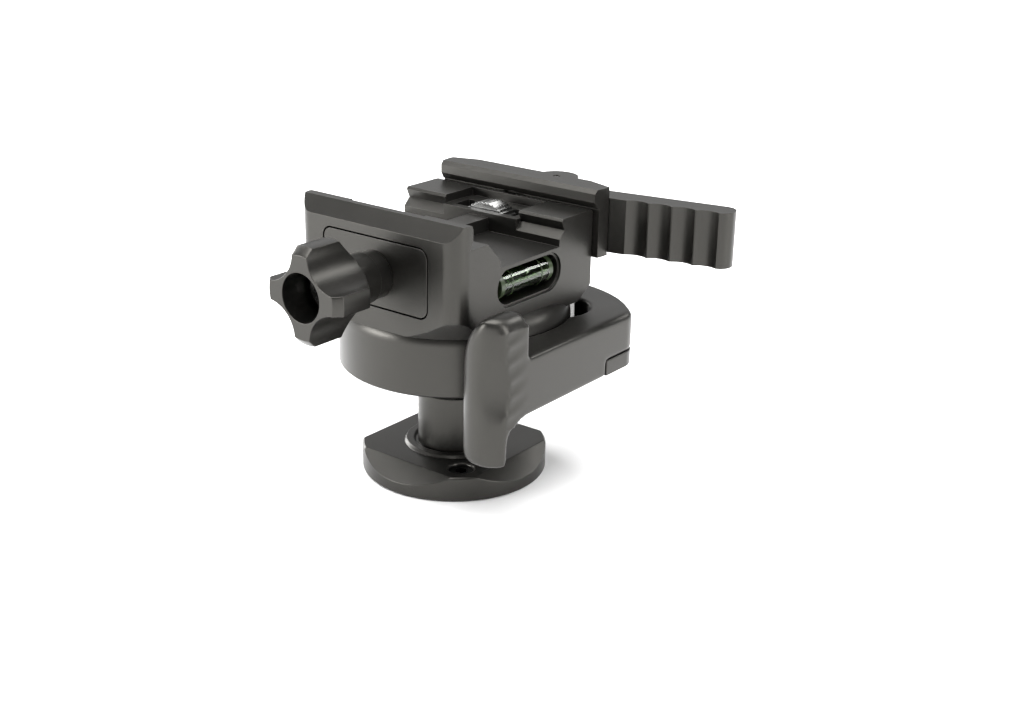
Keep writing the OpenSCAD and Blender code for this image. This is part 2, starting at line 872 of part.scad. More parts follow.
module end_cap_screw() {
    at = hinge + polar(cap_screw_at, cap_screw_az);
    color(steel) difference() {
        end_screw(over + run_gap);
        translate([at.x, at.y, housing_z0 - over]) cylinder(r = cap_head_r * hex_share,
            h = cap_head_h * hex_share + over, $fn = 6);
    }
}

module lock_plunger() {
    color(steel) plunger_line(pad_split, plunger_out, plunger_r);
}

module plunger_pad() {
    color(white) difference() {
        plunger_line(ball_r - over, pad_split, plunger_r);
        translate([0, 0, ball_z]) sphere(seat_r);
    }
}

module front_jaw() {
    z_mid = (plate_z0 + plate_z1) / 2;
    y0 = -clamp_front;
    nose_z0 = floor_z + face_gap;
    nose_z1 = deck_z - 2 * face_gap;
    nose_up = nose_tip + (hook_top_y - hook_y);
    color(dark) difference() {
        union() {
            translate([0, y0 + plate_t, z_mid]) rotate([90, 0, 0]) linear_extrude(plate_t)
                round_rect(2 * plate_half, plate_z1 - plate_z0, plate_corner);
            along_x(-nose_half, nose_half) polygon([
                [y0 + plate_t - edge, nose_z0], [-nose_tip, nose_z0], [-nose_tip, floor_z + hook_h],
                [-nose_tip - nose_groove, floor_z + hook_mid], [-nose_up, floor_z + hook_top],
                [-nose_up, nose_z1], [y0 + plate_t - edge, nose_z1]]);
        }
        rod_y(0, rod_z, y0 - over, y0 + 2 * plate_t, screw_r + run_gap);
        box([-rib_w / 2 - part_gap, -ledge_in - jaw_travel, floor_z - over],
            [rib_w / 2 + part_gap, 0, deck_z + over]);
    }
}

module knob_collar() {
    y1 = -clamp_front;
    color(darker) difference() {
        union() {
            rod_y(0, rod_z, y1 - collar_step, y1, collar_step_r);
            rod_y(0, rod_z, y1 - collar_len, y1 - collar_step, collar_r);
        }
        rod_y(0, rod_z, y1 - collar_len - over, y1 + over, screw_r + run_gap);
    }
}

module knob() {
    tip_angle = asin(tip_half / knob_r);
    along = knob_r * cos(45 - tip_angle);
    across = knob_r * sin(45 - tip_angle);
    scoop_at = (along * along + across * across - scoop_in * scoop_in) / (2 * (along - scoop_in));
    color(dark) difference() {
        translate([0, knob_y0, rod_z]) rotate([-90, 0, 0]) rotate_extrude() polygon([
            [0, 0], [knob_r - knob_rim, 0], [knob_r, knob_rim], [knob_r, knob_len - knob_tail],
            [knob_tail_r, knob_len - edge], [knob_tail_r - edge, knob_len], [0, knob_len]]);
        for (a = [45:90:315]) {
            translate([scoop_at * cos(a), knob_y0 - over, rod_z + scoop_at * sin(a)]) rotate([-90, 0, 0])
                cylinder(r = scoop_at - scoop_in, h = knob_len + 2 * over);
        }
        rod_y(0, rod_z, knob_y0 - over, knob_y0 + bore_depth, bore_r);
        rod_y(0, rod_z, knob_y0, knob_y1 + over, screw_r + fit_gap);
    }
}

module knob_screw() {
    head_y = knob_y0 + bore_depth;
    color(steel) difference() {
        union() {
            rod_y(0, rod_z, head_y - head_h, head_y, head_r);
            rod_y(0, rod_z, head_y - edge, -screw_end, screw_r);
        }
        translate([0, head_y - head_h - over, rod_z]) rotate([-90, 0, 0])
            cylinder(r = head_r * hex_share, h = head_h * hex_share + over, $fn = 6);
    }
}

module draw_rod() {
    link_y0 = jaw_y0 + link_front;
    color(steel) {
        rod_y(0, rod_z, rod_y0, link_y0, rod_r);
        rod_y(0, rod_z, link_y0 - over, link_y0 + link_bar + nut_t, stub_r);
    }
}

// Slot that the lever's cam turns and shifts in
module cam_slot_shape(grow) {
    c = pivot + [0, cam_throw + cam_slot / 3];
    r = cam_r + cam_slot + grow;
    translate(c) circle(r);
    translate(c - [cam_throw + cam_slot, 0]) circle(r);
    translate(c - [cam_throw + cam_slot, r]) square([cam_throw + cam_slot, 2 * r]);
}

module draw_plate() {
    link_y0 = jaw_y0 + link_front;
    color(steel) difference() {
        translate([0, 0, rod_z - link_t / 2]) linear_extrude(link_t) difference() {
            union() {
                cam_slot_shape(link_wall);
                translate([-link_bar, link_y0]) square([pivot.x + link_bar, link_bar]);
            }
            cam_slot_shape(0);
        }
        rod_y(0, rod_z, link_y0 - over, link_y0 + 2 * link_bar, stub_r);
    }
}

module rod_nut() {
    y0 = jaw_y0 + link_front + link_bar;
    color(steel) difference() {
        translate([0, y0, rod_z]) rotate([-90, 0, 0]) cylinder(r = nut_r, h = nut_t, $fn = 6);
        rod_y(0, rod_z, y0 - over, y0 + nut_t + over, stub_r);
    }
}

module thumb_wheel() {
    color(steel) difference() {
        translate([0, wheel_y0, rod_z]) rotate([-90, 0, 0]) linear_extrude(wheel_w) polygon([
            for (i = [0:2 * wheel_teeth - 1])
                polar(wheel_r - (i % 2) * wheel_tooth, i * 180 / wheel_teeth)]);
        rod_y(0, rod_z, wheel_y0 - over, wheel_y0 + wheel_w + over, rod_r + run_gap);
    }
}

// Section of the rear jaw across its length
module jaw_section() {
    polygon([[jaw_y0, jaw_z0], [jaw_y1 - edge, jaw_z0], [jaw_y1, jaw_z0 + edge],
        [jaw_y1, jaw_z1 - edge], [jaw_y1 - edge, jaw_z1], [jaw_top_in, jaw_z1],
        [rear_lip, jaw_lip_z1], [rear_lip, deck_z + lip_foot],
        [rear_lip + undercut, jaw_lip_z0], [jaw_y0, jaw_lip_z0]]);
}

// Plan of the rear jaw, thinner at its ends
module jaw_plan() {
    back = jaw_y0 + jaw_end_t;
    polygon([[jaw_x0 + jaw_end_cut, 0], [jaw_x1 - jaw_end_cut, 0], [jaw_x1, rear_lip + jaw_end_cut],
        [jaw_x1, back], [jaw_x1 - jaw_end_w, jaw_y1], [jaw_x0 + jaw_end_w, jaw_y1],
        [jaw_x0, back], [jaw_x0, rear_lip + jaw_end_cut]]);
}

// Part of the lever outline that can lie against the jaw, seen from above
module lever_bay() {
    gap = part_gap;
    translate(pivot) circle(qr_hub_r + gap);
    translate(pivot - [qr_hub_r + 4 * gap, 0]) square([jaw_len, jaw_t + 4 * gap]);
    translate(pivot) rotate(qr_angle) translate([0, -qr_hub_r - gap]) square([jaw_len, jaw_t]);
}

module rear_jaw() {
    z_gap = face_gap;
    color(dark) difference() {
        union() {
            intersection() {
                along_x(jaw_x0, jaw_x1) jaw_section();
                translate([0, 0, jaw_z0]) linear_extrude(jaw_h) jaw_plan();
            }
            translate([pivot.x, pivot.y, qr_z1 + z_gap]) cylinder(r = ear_r, h = jaw_z1 - qr_z1 - z_gap);
            translate([pivot.x, pivot.y, ear_z1 - ear_drop]) cylinder(r = ear_low_r, h = ear_drop);
            box([pivot.x - ear_low_r, jaw_y0, ear_z1 - ear_drop], [pivot.x + ear_low_r, pivot.y, ear_z1]);
        }
        translate([0, 0, ear_z1]) linear_extrude(qr_z1 + z_gap - ear_z1) lever_bay();
        translate([0, 0, rod_z - link_t / 2 - z_gap]) linear_extrude(link_t + 2 * z_gap) {
            translate([0, -cam_throw]) cam_slot_shape(link_wall + z_gap);
            translate([-link_bar - z_gap, jaw_y0 + link_front - cam_throw - z_gap])
                square([pivot.x + link_bar, jaw_t]);
        }
        rod_y(0, rod_z, jaw_y0 - over, jaw_y1, rod_r + 2 * run_gap);
        rod_y(0, rod_z, jaw_y0 + link_front + link_bar - cam_throw - z_gap, jaw_y1 + over, nut_r + z_gap);
        rod_y(0, rod_z, jaw_y0 - over, jaw_y0 + jaw_relief, jaw_relief_r);
        translate([pivot.x, pivot.y, 0]) cylinder(r = qr_pin_r, h = 2 * jaw_z1);
        for (s = [-1, 1]) {
            rod_y(s * guide_at, guide_z, jaw_y0 - over, jaw_y0 + guide_in, guide_r);
        }
    }
}

module jaw_guide_pins() {
    color(steel) for (s = [-1, 1]) {
        rod_y(s * guide_at, guide_z, guide_y0, jaw_y0 + guide_in, guide_r);
    }
}

module qr_pivot_pin() {
    z0 = ear_z1 - ear_drop + edge / 2;
    color(steel) translate([pivot.x, pivot.y, z0]) cylinder(r = qr_pin_r, h = jaw_z1 - edge / 2 - z0);
}

// Plan of the lever's handle in its own direction, with its tip rounded
module handle_plan(x0) {
    back = qr_front + qr_t;
    tip = qr_reach - qr_tip_r;
    polygon([[x0, qr_front], [tip, qr_front], [qr_reach, qr_front + qr_tip_r],
        [qr_reach, back - qr_tip_r], [tip, back], [x0, back]]);
    for (y = [qr_front + qr_tip_r, back - qr_tip_r]) {
        translate([tip, y]) circle(qr_tip_r);
    }
}

module qr_lever() {
    color(dark) difference() {
        union() {
            translate([pivot.x, pivot.y + cam_throw, rod_z - link_t / 2 - run_gap])
                cylinder(r = cam_r, h = hub_z0 - rod_z + link_t / 2 + 2 * run_gap);
            translate([pivot.x, pivot.y, hub_z0]) rotate(qr_angle) linear_extrude(qr_z1 - hub_z0) {
                circle(qr_hub_r);
                handle_plan(0);
            }
            translate([pivot.x, pivot.y, qr_z0]) rotate(qr_angle) linear_extrude(qr_h) handle_plan(qr_start);
        }
        translate([pivot.x, pivot.y, 0]) cylinder(r = qr_pin_r + run_gap, h = 2 * jaw_z1);
        for (i = [0:qr_scallop_n - 1]) {
            x = qr_scallop_at + i * qr_scallop_pitch;
            translate([pivot.x, pivot.y, 0]) rotate(qr_angle)
                translate([x, qr_front - qr_scallop_r + qr_scallop_depth, 0])
                cylinder(r = qr_scallop_r, h = 2 * jaw_z1);
        }
    }
}

base_plate();
base_set_screws();
stem();
ball_stud();
ball();
upper_ball_cup();
cup_carrier();
housing();
seat_ring();
lever_pivot_pin();
clamp_body();
clamp_lock_screw();
vial_tube();
vial_fluid();
vial_caps();
jaw_springs();
lock_lever();
lever_end_cap();
end_cap_screw();
lock_plunger();
plunger_pad();
front_jaw();
knob_collar();
knob();
knob_screw();
draw_rod();
draw_plate();
rod_nut();
thumb_wheel();
rear_jaw();
jaw_guide_pins();
qr_pivot_pin();
qr_lever();
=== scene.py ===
"""Compact ball head with a double quick-release clamp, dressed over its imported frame."""
import json
import logging
import math
from dataclasses import dataclass, field
from enum import Enum

import bmesh
import bpy
from mathutils import Matrix, Vector


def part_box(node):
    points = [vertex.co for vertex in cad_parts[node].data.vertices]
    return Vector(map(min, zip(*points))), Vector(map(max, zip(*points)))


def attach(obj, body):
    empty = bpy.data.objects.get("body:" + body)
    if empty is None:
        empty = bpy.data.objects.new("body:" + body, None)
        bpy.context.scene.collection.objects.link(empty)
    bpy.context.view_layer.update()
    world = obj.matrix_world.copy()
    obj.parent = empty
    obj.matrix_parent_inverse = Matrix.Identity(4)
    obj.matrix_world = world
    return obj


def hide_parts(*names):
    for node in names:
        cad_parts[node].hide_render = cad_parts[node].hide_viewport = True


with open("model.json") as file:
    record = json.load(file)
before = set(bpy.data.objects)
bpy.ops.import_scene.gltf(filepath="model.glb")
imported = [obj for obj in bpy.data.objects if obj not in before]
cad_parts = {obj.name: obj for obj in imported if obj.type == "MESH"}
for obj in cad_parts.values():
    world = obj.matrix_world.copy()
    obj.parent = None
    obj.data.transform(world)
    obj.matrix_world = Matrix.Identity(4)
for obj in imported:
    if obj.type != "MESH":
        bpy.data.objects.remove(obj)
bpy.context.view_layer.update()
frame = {"nodes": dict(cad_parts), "record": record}

MM = 0.001
MERGE = 0.002 * MM                  # points nearer than this are one point
COPLANAR = math.radians(0.4)        # faces that meet at less than this are one flat face
BREAK_ANGLE = math.radians(24.0)    # edges that turn by more than this are broken
CREASE_DEGREES = 40.0               # edges that turn by more than this are shaded sharp
NO_CREASE_DEGREES = 180.0
NOISE_MEAN = 0.5
LOG = logging.getLogger("ball_head")
NODE_BODY = {
    node: body for body, nodes in frame["record"]["behaviour"]["bodies"].items() for node in nodes}
NODE_SLOT = {row["node"]: row["material_slot"] for row in frame["record"]["subparts"]}


class Axis(Enum):
    """Axis that a lathe leaves its marks round."""

    Y = (0.0, 1.0, 0.0)
    Z = (0.0, 0.0, 1.0)


class Detail(Enum):
    """Octaves of a noise."""

    GRAIN = 2.0
    MARKS = 3.0
    CLOUDS = 4.0


class Value:
    """A shader socket that takes part in Python arithmetic."""

    def __init__(self, graph: "Graph", socket: bpy.types.NodeSocket) -> None:
        """Keeps the socket and the graph that it belongs to.

        Args:
            graph: Graph that new nodes go into.
            socket: Output socket that this value stands for.
        """
        self.graph = graph
        self.socket = socket

    def _math(self, operation: str, first: "Value | float", second: "Value | float") -> "Value":
        """Adds one Math node.

        Args:
            operation: Name of the Math node's operation.
            first: Value or number on the left.
            second: Value or number on the right.

        Returns:
            The node's result.
        """
        return self.graph.add("ShaderNodeMath", {"operation": operation}, {0: first, 1: second})

    def __add__(self, other: "Value | float") -> "Value":
        """Sum of this value and another."""
        return self._math("ADD", self, other)

    def __radd__(self, other: float) -> "Value":
        """Sum of a number and this value."""
        return self._math("ADD", other, self)

    def __sub__(self, other: "Value | float") -> "Value":
        """This value less another."""
        return self._math("SUBTRACT", self, other)

    def __mul__(self, other: "Value | float") -> "Value":
        """Product of this value and another."""
        return self._math("MULTIPLY", self, other)


class Graph:
    """A material's node tree."""

    def __init__(self, name: str) -> None:
        """Starts an empty material.

        Args:
            name: Name of the material.
        """
        self.material = bpy.data.materials.new(name)
        self.material.use_nodes = True
        self.tree = self.material.node_tree
        self.tree.nodes.clear()

    def add(self, kind: str, settings: dict | None = None, inputs: dict | None = None,
            output: int | str = 0) -> Value:
        """Adds a node of any kind.

        Args:
            kind: Node type.
            settings: Properties that are set first.
            inputs: Numbers, colours or values for its sockets, by name or number.
            output: Socket that is handed back.

        Returns:
            The chosen output.
        """
        node = self.tree.nodes.new(kind)
        for key, setting in (settings or {}).items():
            setattr(node, key, setting)
        for key, given in (inputs or {}).items():
            if isinstance(given, Value):
                self.tree.links.new(given.socket, node.inputs[key])
            else:
                node.inputs[key].default_value = given
        return Value(self, node.outputs[output])

    def noise(self, per_metre: float, detail: Detail, stretch: tuple | None = None) -> Value:
        """Noise in the shared frame, from 0 to 1.

        Args:
            per_metre: Features per metre.
            detail: Octaves of detail.
            stretch: Scale along each axis, for marks that run one way.

        Returns:
            The noise's strength.
        """
        where = self.add("ShaderNodeTexCoord", output="Object")
        if stretch:
            where = self.add("ShaderNodeMapping", inputs={"Vector": where, "Scale": stretch})
        return self.add("ShaderNodeTexNoise",
                        inputs={"Vector": where, "Scale": per_metre, "Detail": detail.value})

    def blend(self, factor: Value, dark: tuple, light: tuple) -> Value:
        """Mix of two colours.

        Args:
            factor: Share of the second colour.
            dark: First colour.
            light: Second colour.

        Returns:
            The mixed colour.
        """
        colour_factor, colour_a, colour_b, colour_out = 0, 6, 7, 2    # the Mix node's sockets
        return self.add("ShaderNodeMix", {"data_type": "RGBA"},
                        {colour_factor: factor, colour_a: (*dark, 1.0), colour_b: (*light, 1.0)},
                        colour_out)

    def bump(self, height: Value, depth: float) -> Value:
        """Normal of a bumpy surface.

        Args:
            height: Height from 0 to 1.
            depth: Height of the bumps in metres.

        Returns:
            The normal.
        """
        return self.add("ShaderNodeBump",
                        inputs={"Height": height, "Distance": depth, "Strength": 1.0})

    def finish(self, inputs: dict) -> bpy.types.Material:
        """Adds the Principled shader and the output.

        Args:
            inputs: Numbers, colours or values for the shader's sockets.

        Returns:
            The finished material.
        """
        shader = self.add("ShaderNodeBsdfPrincipled", inputs=inputs)
        output = self.tree.nodes.new("ShaderNodeOutputMaterial")
        self.tree.links.new(shader.socket, output.inputs["Surface"])
        return self.material


def shade(tint: tuple, share: float) -> tuple:
    """A tint with every channel scaled by a share."""
    return tuple(channel * share for channel in tint)


@dataclass(frozen=True)
class Anodised:
    """Bead-blasted and dyed aluminium: fine grain, slow clouds in tone and gloss."""

    name: str
    tint: tuple = (0.046, 0.0445, 0.041)
    roughness: float = 0.35
    metallic: float = 0.92
    tone_swing: float = 0.10
    gloss_swing: float = 0.10
    cloud_share: float = 0.7
    cloud_per_metre: float = 70.0
    grain_per_metre: float = 5200.0
    grain_depth: float = 0.000010

    def material(self) -> bpy.types.Material:
        """Builds the finish.

        Returns:
            The material.
        """
        graph = Graph(self.name)
        grain = graph.noise(self.grain_per_metre, Detail.GRAIN)
        cloud = graph.noise(self.cloud_per_metre, Detail.CLOUDS)
        dark = shade(self.tint, 1.0 - self.tone_swing)
        light = shade(self.tint, 1.0 + self.tone_swing)
        mottle = cloud * self.cloud_share + grain * (1.0 - self.cloud_share)
        cloud_gloss = (cloud - NOISE_MEAN) * self.gloss_swing
        grain_gloss = (grain - NOISE_MEAN) * self.gloss_swing
        return graph.finish({
            "Base Color": graph.blend(mottle, dark, light), "Metallic": self.metallic,
            "Roughness": self.roughness + cloud_gloss + grain_gloss,
            "Normal": graph.bump(grain, self.grain_depth)})


@dataclass(frozen=True)
class Turned:
    """Bare steel off a lathe or a ground rod: bright, with fine marks round its axis."""

    name: str
    tint: tuple
    roughness: float
    axis: Axis = Axis.Y
    dark_share: float = 0.82
    gloss_swing: float = 0.12
    smears_per_metre: float = 400.0
    marks_per_metre: float = 2600.0
    mark_depth: float = 0.000006
    across: float = 0.05

    def material(self) -> bpy.types.Material:
        """Builds the finish.

        Returns:
            The material.
        """
        graph = Graph(self.name)
        stretch = tuple(1.0 if along else self.across for along in self.axis.value)
        marks = graph.noise(self.marks_per_metre, Detail.MARKS, stretch)
        smear = graph.noise(self.smears_per_metre, Detail.MARKS)
        dark = shade(self.tint, self.dark_share)
        return graph.finish({
            "Base Color": graph.blend(smear, dark, self.tint), "Metallic": 1.0,
            "Roughness": self.roughness + (smear - NOISE_MEAN) * self.gloss_swing,
            "Normal": graph.bump(marks, self.mark_depth)})


@dataclass(frozen=True)
class Plastic:
    """Moulded plastic with a faint skin texture."""

    name: str
    tint: tuple
    roughness: float = 0.45
    dark_share: float = 0.88
    gloss_swing: float = 0.1
    skin_per_metre: float = 3000.0
    skin_depth: float = 0.000008

    def material(self) -> bpy.types.Material:
        """Builds the finish.

        Returns:
            The material.
        """
        graph = Graph(self.name)
        skin = graph.noise(self.skin_per_metre, Detail.GRAIN)
        dark = shade(self.tint, self.dark_share)
        return graph.finish({
            "Base Color": graph.blend(skin, dark, self.tint),
            "Roughness": self.roughness + (skin - NOISE_MEAN) * self.gloss_swing,
            "Normal": graph.bump(skin, self.skin_depth)})


@dataclass(frozen=True)
class Clear:
    """Clear or tinted acrylic or liquid that light passes through."""

    name: str
    tint: tuple
    roughness: float
    index: float
    dark_share: float = 0.85
    gloss_swing: float = 0.03
    haze_per_metre: float = 500.0

    def material(self) -> bpy.types.Material:
        """Builds the finish.

        Returns:
            The material.
        """
        graph = Graph(self.name)
        haze = graph.noise(self.haze_per_metre, Detail.GRAIN)
        dark = shade(self.tint, self.dark_share)
        return graph.finish({
            "Base Color": graph.blend(haze, dark, self.tint),
            "Roughness": self.roughness + haze * self.gloss_swing,
            "Transmission Weight": 1.0, "IOR": self.index})


@dataclass(frozen=True)
class Paper:
    """Matt pale paper with faint fibres."""

    name: str
    dark: tuple = (0.88, 0.88, 0.88)
    light: tuple = (0.90, 0.90, 0.90)
    roughness: float = 0.9
    specular: float = 0.1
    fibres_per_metre: float = 40.0

    def material(self) -> bpy.types.Material:
        """Builds the finish.

        Returns:
            The material.
        """
        graph = Graph(self.name)
        fibre = graph.noise(self.fibres_per_metre, Detail.CLOUDS)
        return graph.finish({
            "Base Color": graph.blend(fibre, self.dark, self.light),
            "Roughness": self.roughness, "Specular IOR Level": self.specular})


FINISHES = {
    "anodised_body": Anodised("body_anodised"),
    "anodised_lever": Anodised("lever_anodised"),
    "anodised_knob": Anodised("knob_anodised", roughness=0.31),
    "lever_insert": Anodised("insert_anodised", tint=(0.040, 0.0385, 0.0355)),
    "ball_finish": Anodised("ball_polished", (0.05, 0.05, 0.048), 0.24, grain_depth=0.000002),
    "black_screw": Turned("screw_black_oxide", (0.035, 0.035, 0.036), 0.34, Axis.Z),
    "bright_screw": Turned("screw_bright", (0.30, 0.30, 0.30), 0.22),
    "plain_steel": Turned("rod_ground", (0.55, 0.55, 0.55), 0.24),
    "knurled_wheel": Turned("wheel_stainless", (0.27, 0.27, 0.265), 0.26),
    "spring_steel": Turned("spring_drawn", (0.45, 0.45, 0.46), 0.28),
    "liner_plastic": Plastic("liner_acetal", (0.80, 0.80, 0.77)),
    "vial_glass": Clear("vial_acrylic", (0.86, 0.97, 0.80), 0.01, 1.49),
    "vial_liquid": Clear("vial_liquid", (0.16, 0.36, 0.05), 0.02, 1.36),
    "vial_cap": Plastic("vial_plug", (0.03, 0.045, 0.02), 0.35),
}


def placed(name: str, data: bpy.types.ID) -> bpy.types.Object:
    """Makes an object and links it to the scene.

    Args:
        name: Name of the object.
        data: Mesh, light or camera that it shows.

    Returns:
        The object.
    """
    thing = bpy.data.objects.new(name, data)
    bpy.context.scene.collection.objects.link(thing)
    return thing


def bevel(shape: bmesh.types.BMesh, edges: list, width: float, segments: int,
          clamp_overlap: bool) -> None:
    """Breaks edges.

    Args:
        shape: Shape that the edges belong to.
        edges: Edges to break.
        width: Width of the broken edge in millimetres.
        segments: Faces across the broken edge.
        clamp_overlap: Whether the width gives way where two broken edges would cross.
    """
    bmesh.ops.bevel(shape, geom=edges, offset=width * MM, offset_type="OFFSET", segments=segments,
                    profile=0.5, affect="EDGES", clamp_overlap=clamp_overlap, material=-1)


@dataclass
class Workshop:
    """Makes pieces from the frame's nodes and dresses them with their slots' finishes."""

    materials: dict = field(default_factory=dict)
    flat_weight: int = 50

    def material(self, slot: str) -> bpy.types.Material:
        """The one material of a slot.

        Args:
            slot: Name of the record's material slot.

        Returns:
            The material, made the first time.
        """
        if slot not in self.materials:
            self.materials[slot] = FINISHES[slot].material()
        return self.materials[slot]

    def dress(self, *nodes: str) -> None:
        """Gives nodes that keep their own shapes their slots' finishes.

        Args:
            nodes: Names of the nodes.
        """
        for node in nodes:
            piece = frame["nodes"][node]
            material = self.material(NODE_SLOT[node])
            if not piece.material_slots:
                piece.data.materials.append(material)
            for slot in piece.material_slots:
                slot.material = material
            LOG.info("kept %s", node)

    @staticmethod
    def copy_of(node: str) -> bmesh.types.BMesh:
        """Merged copy of a node's mesh, with its flat faces joined.

        Args:
            node: Name of the node.

        Returns:
            The copy.
        """
        shape = bmesh.new()
        shape.from_mesh(frame["nodes"][node].data)
        bmesh.ops.remove_doubles(shape, verts=shape.verts, dist=MERGE)
        bmesh.ops.dissolve_limit(shape, angle_limit=COPLANAR, verts=shape.verts,
                                 edges=shape.edges)
        return shape

    def add(self, name: str, shape: bmesh.types.BMesh, node: str, stands_for: bool = True,
            slot: str | None = None, crease: float = CREASE_DEGREES) -> None:
        """Makes a piece of a shape.

        Args:
            name: Name of the piece.
            shape: Finished shape, which is freed.
            node: Node whose body it rides on.
            stands_for: Whether it replaces that node.
            slot: Material slot, or None for the node's own.
            crease: Angle in degrees past which an edge is shaded sharp.
        """
        mesh = bpy.data.meshes.new(name)
        shape.to_mesh(mesh)
        shape.free()
        mesh.polygons.foreach_set("use_smooth", [True] * len(mesh.polygons))
        mesh.set_sharp_from_angle(angle=math.radians(crease))
        piece = placed(name, mesh)
        chosen = slot or NODE_SLOT[node]
        mesh.materials.append(self.material(chosen))
        flat = piece.modifiers.new("flat_faces", "WEIGHTED_NORMAL")
        flat.keep_sharp = True
        flat.weight = self.flat_weight
        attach(piece, NODE_BODY[node])
        if stands_for:
            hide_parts(node)
        LOG.info("made %s: %d faces", name, len(mesh.polygons))

    def machined(self, node: str, width: float, segments: int = 2) -> None:
        """Replaces a node with its own shape, its sharp edges broken as a cutter leaves them.

        Args:
            node: Name of the node.
            width: Width of the broken edge in millimetres.
            segments: Faces across the broken edge.
        """
        shape = self.copy_of(node)
        sharp = [edge for edge in shape.edges
                 if edge.is_manifold and edge.calc_face_angle(0.0) > BREAK_ANGLE]
        bevel(shape, sharp, width, segments, clamp_overlap=True)
        self.add(f"{node}_finished", shape, node)


@dataclass
class Base:
    """Disc, stem, ball and what joins them."""

    workshop: Workshop
    plate_edge: float = 0.22

    def build(self) -> None:
        """Dresses the base's pieces."""
        self.workshop.machined("base_plate", self.plate_edge)
        self.workshop.dress("base_set_screws", "stem", "ball_stud", "ball")


@dataclass
class Housing:
    """Bowl round the ball with its liners and the lever's pin."""

    workshop: Workshop
    bowl_edge: float = 0.2

    def build(self) -> None:
        """Dresses the housing's pieces."""
        self.workshop.machined("housing", self.bowl_edge)
        self.workshop.dress("seat_ring", "upper_ball_cup", "cup_carrier", "lever_pivot_pin",
                            "lock_plunger", "plunger_pad")


@dataclass
class LockLever:
    """Arm, lobe and thumb grip milled from one piece, with soft edges.

    The places and lengths are millimetres in the shared frame.
    """

    workshop: Workshop
    voxel: float = 0.30
    all_rounds: int = 8
    grip_rounds: int = 84
    grip_y: float = -14.8
    rib_x: float = 29.2
    rib_z: tuple = (22.5, 41.5)
    arm_top: float = 35.0
    arm_top_within: float = 0.03
    arm_chamfer: float = 0.9
    wall_lean: float = 0.1
    cap_edge: float = 0.2

    def build(self) -> None:
        """Makes the lever and dresses what it carries."""
        shape = self.remeshed("lock_lever")
        self.soften(shape, list(shape.verts), self.all_rounds)
        self.soften(shape, [v for v in shape.verts if self.on_grip(v.co)], self.grip_rounds)
        self.workshop.add("lock_lever_finished", shape, "lock_lever", crease=NO_CREASE_DEGREES)
        self.workshop.machined("lever_end_cap", self.cap_edge)
        self.workshop.dress("end_cap_screw")

    def remeshed(self, node: str) -> bmesh.types.BMesh:
        """Even, dense copy of a node, with the arm's outer top edge chamfered first.

        Args:
            node: Name of the node.

        Returns:
            The copy as quads of one size.
        """
        merged = self.workshop.copy_of(node)
        rim = [edge for edge in merged.edges if self.on_arm_rim(edge)]
        bevel(merged, rim, self.arm_chamfer, 1, clamp_overlap=False)
        source = bpy.data.meshes.new("lever_source")
        merged.to_mesh(source)
        merged.free()
        holder = placed("lever_source", source)
        remesh = holder.modifiers.new("even", "REMESH")
        remesh.mode = "VOXEL"
        remesh.voxel_size = self.voxel * MM
        graph = bpy.context.evaluated_depsgraph_get()
        shape = bmesh.new()
        shape.from_mesh(holder.evaluated_get(graph).to_mesh())
        bpy.data.objects.remove(holder)
        bpy.data.meshes.remove(source)
        return shape

    def on_arm_rim(self, edge: bmesh.types.BMEdge) -> bool:
        """Whether an edge lies between the arm's top and its outer wall.

        Args:
            edge: Edge of the merged copy.

        Returns:
            True on the outer top edge.
        """
        middle = (edge.verts[0].co + edge.verts[1].co) / 2
        level = all(abs(vert.co.z / MM - self.arm_top) < self.arm_top_within
                    for vert in edge.verts)
        walls = [face for face in edge.link_faces if abs(face.normal.z) < self.wall_lean]
        return level and len(walls) == 1 and walls[0].normal.to_2d().dot(middle.to_2d()) > 0.0

    def on_grip(self, co: Vector) -> bool:
        """Whether a point is on the grip and off its ribs.

        Args:
            co: Point in metres.

        Returns:
            True on the grip's soft part.
        """
        x, y, z = co / MM
        on_ribs = x > self.rib_x and self.rib_z[0] < z < self.rib_z[1]
        return y < self.grip_y and not on_ribs

    @staticmethod
    def soften(shape: bmesh.types.BMesh, verts: list, rounds: int) -> None:
        """Rounds edges by moving each point towards its neighbours.

        Args:
            shape: Shape to round.
            verts: Points that move.
            rounds: How often they move.
        """
        for _ in range(rounds):
            bmesh.ops.smooth_vert(shape, verts=verts, factor=0.5, use_axis_x=True,
                                  use_axis_y=True, use_axis_z=True)


